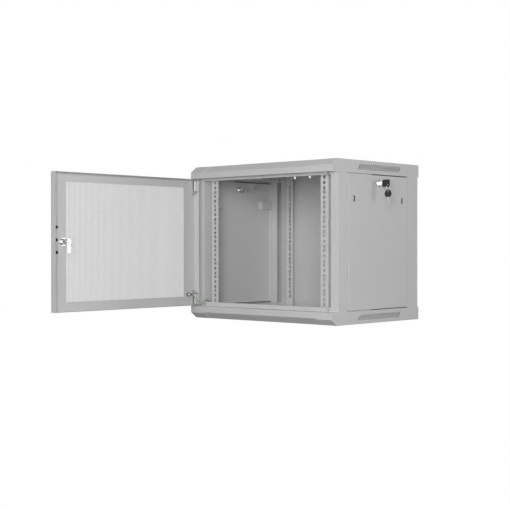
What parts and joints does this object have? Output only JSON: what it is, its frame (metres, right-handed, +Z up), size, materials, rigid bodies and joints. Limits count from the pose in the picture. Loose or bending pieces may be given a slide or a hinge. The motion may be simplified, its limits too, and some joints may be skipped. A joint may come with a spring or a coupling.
{
  "type": "network rack cabinet",
  "caption": "Wall-mounting 19-inch network cabinet with an open perforated door, removable side panels with locks, rack rails, an earth lead and keys.",
  "frame": {"origin": "centre of the cabinet's footprint on the underside of the base", "axes": "+X to the right seen from the front, +Y to the back (the front faces -Y), +Z up"},
  "size_m": [0.6489, 1.026, 0.501],
  "materials": {
    "powder_coat": "light grey textured powder coat",
    "zinc": "zinc plated",
    "chrome": "polished",
    "black_plastic": "moulded",
    "brass": "plain",
    "wire_insulation": "yellow and green stripes"
  },
  "bodies": {
    "cabinet": {"base_cover": "powder_coat", "roof_cover": "powder_coat", "back_panel": "powder_coat", "cabinet_screws": "zinc", "front_post_left": "powder_coat", "front_post_right": "powder_coat", "rear_post_left": "powder_coat", "rear_post_right": "powder_coat", "front_header": "powder_coat", "front_sill": "powder_coat", "carrier_bottom_left": "powder_coat", "carrier_bottom_right": "powder_coat", "carrier_top_left": "powder_coat", "carrier_top_right": "powder_coat", "rail_front_left": "powder_coat", "rail_front_right": "powder_coat", "rail_rear_left": "powder_coat", "rail_rear_right": "powder_coat", "cable_covers": "powder_coat", "hinge_bushes": "black_plastic", "cabinet_ground_stud": "zinc", "cabinet_ring_terminal": "brass", "ground_lead": "wire_insulation"},
    "door": {"door_frame": "powder_coat", "door_perforated_sheet": "powder_coat", "door_hinge_brackets": "zinc", "door_lock_body": "chrome", "door_lock_nut": "zinc", "door_plugs": "black_plastic", "door_ground_stud": "zinc", "door_ring_terminal": "brass"},
    "door_lock_turning": {"door_lock_plug": "chrome", "door_lock_cam": "zinc"},
    "hinge_pin_upper": {"hinge_pin_top": "zinc"},
    "hinge_pin_lower": {"hinge_pin_bottom": "zinc"},
    "panel_right": {"side_panel_right": "powder_coat", "side_lock_body_right": "chrome", "side_lock_nut_right": "zinc", "latch_housings_right": "powder_coat", "side_panel_stud_right": "zinc", "panel_seal_right": "black_plastic"},
    "panel_left": {"side_panel_left": "powder_coat", "side_lock_body_left": "chrome", "side_lock_nut_left": "zinc", "latch_housings_left": "powder_coat", "side_panel_stud_left": "zinc", "panel_seal_left": "black_plastic"},
    "side_lock_right_turning": {"side_lock_plug_right": "chrome", "side_lock_cam_right": "zinc", "key_blade": "chrome", "key_head": "black_plastic"},
    "side_lock_left_turning": {"side_lock_plug_left": "chrome", "side_lock_cam_left": "zinc"},
    "spare_key": {"key_ring": "chrome", "spare_key_head": "black_plastic", "spare_key_blade": "chrome"},
    "latch_slide_front_right": {"latch_front_right": "zinc"},
    "latch_slide_front_left": {"latch_front_left": "zinc"},
    "latch_slide_rear_right": {"latch_rear_right": "zinc"},
    "latch_slide_rear_left": {"latch_rear_left": "zinc"}
  },
  "joints": [
    {"name": "door_hinge", "type": "hinge", "parent": "cabinet", "child": "door", "pos_m": [-0.29, -0.215, 0.25075], "axis": [0, 0, 1], "range_deg": [-45, 90], "deforming": ["ground_lead"]},
    {"name": "door_lock_turn", "type": "hinge", "parent": "door", "child": "door_lock_turning", "pos_m": [-0.28, -0.759, 0.2515], "axis": [1, 0, 0], "range_deg": [-90, 0]},
    {"name": "hinge_pin_top_release", "type": "slide", "parent": "door", "child": "hinge_pin_upper", "axis": [0, 0, -1], "range_m": [0, 0.008], "stiffness_N_per_m": 600, "springref_m": -0.008},
    {"name": "hinge_pin_bottom_release", "type": "slide", "parent": "door", "child": "hinge_pin_lower", "axis": [0, 0, 1], "range_m": [0, 0.008], "stiffness_N_per_m": 600, "springref_m": -0.008},
    {"name": "side_panel_right_tilt", "type": "hinge", "parent": "cabinet", "child": "panel_right", "pos_m": [0.2997, 0, 0.0425], "axis": [0, 1, 0], "range_deg": [0, 25]},
    {"name": "side_panel_left_tilt", "type": "hinge", "parent": "cabinet", "child": "panel_left", "pos_m": [-0.2997, 0, 0.0425], "axis": [0, -1, 0], "range_deg": [0, 25]},
    {"name": "side_lock_right_turn", "type": "hinge", "parent": "panel_right", "child": "side_lock_right_turning", "pos_m": [0.29, 0.0085, 0.433], "axis": [1, 0, 0], "range_deg": [0, 90]},
    {"name": "side_lock_left_turn", "type": "hinge", "parent": "panel_left", "child": "side_lock_left_turning", "pos_m": [-0.29, 0.0085, 0.433], "axis": [1, 0, 0], "range_deg": [0, 90]},
    {"name": "spare_key_swing", "type": "hinge", "parent": "side_lock_right_turning", "child": "spare_key", "pos_m": [0.335, 0.0085, 0.42645], "axis": [0, 1, 0], "range_deg": [-60, 20]},
    {"name": "latch_front_right_slide", "type": "slide", "parent": "panel_right", "child": "latch_slide_front_right", "axis": [0, 1, 0], "range_m": [0, 0.0045], "stiffness_N_per_m": 300, "springref_m": -0.004},
    {"name": "latch_rear_right_slide", "type": "slide", "parent": "panel_right", "child": "latch_slide_rear_right", "axis": [0, -1, 0], "range_m": [0, 0.0045], "stiffness_N_per_m": 300, "springref_m": -0.004},
    {"name": "latch_front_left_slide", "type": "slide", "parent": "panel_left", "child": "latch_slide_front_left", "axis": [0, 1, 0], "range_m": [0, 0.0045], "stiffness_N_per_m": 300, "springref_m": -0.004},
    {"name": "latch_rear_left_slide", "type": "slide", "parent": "panel_left", "child": "latch_slide_rear_left", "axis": [0, -1, 0], "range_m": [0, 0.0045], "stiffness_N_per_m": 300, "springref_m": -0.004}
  ]
}
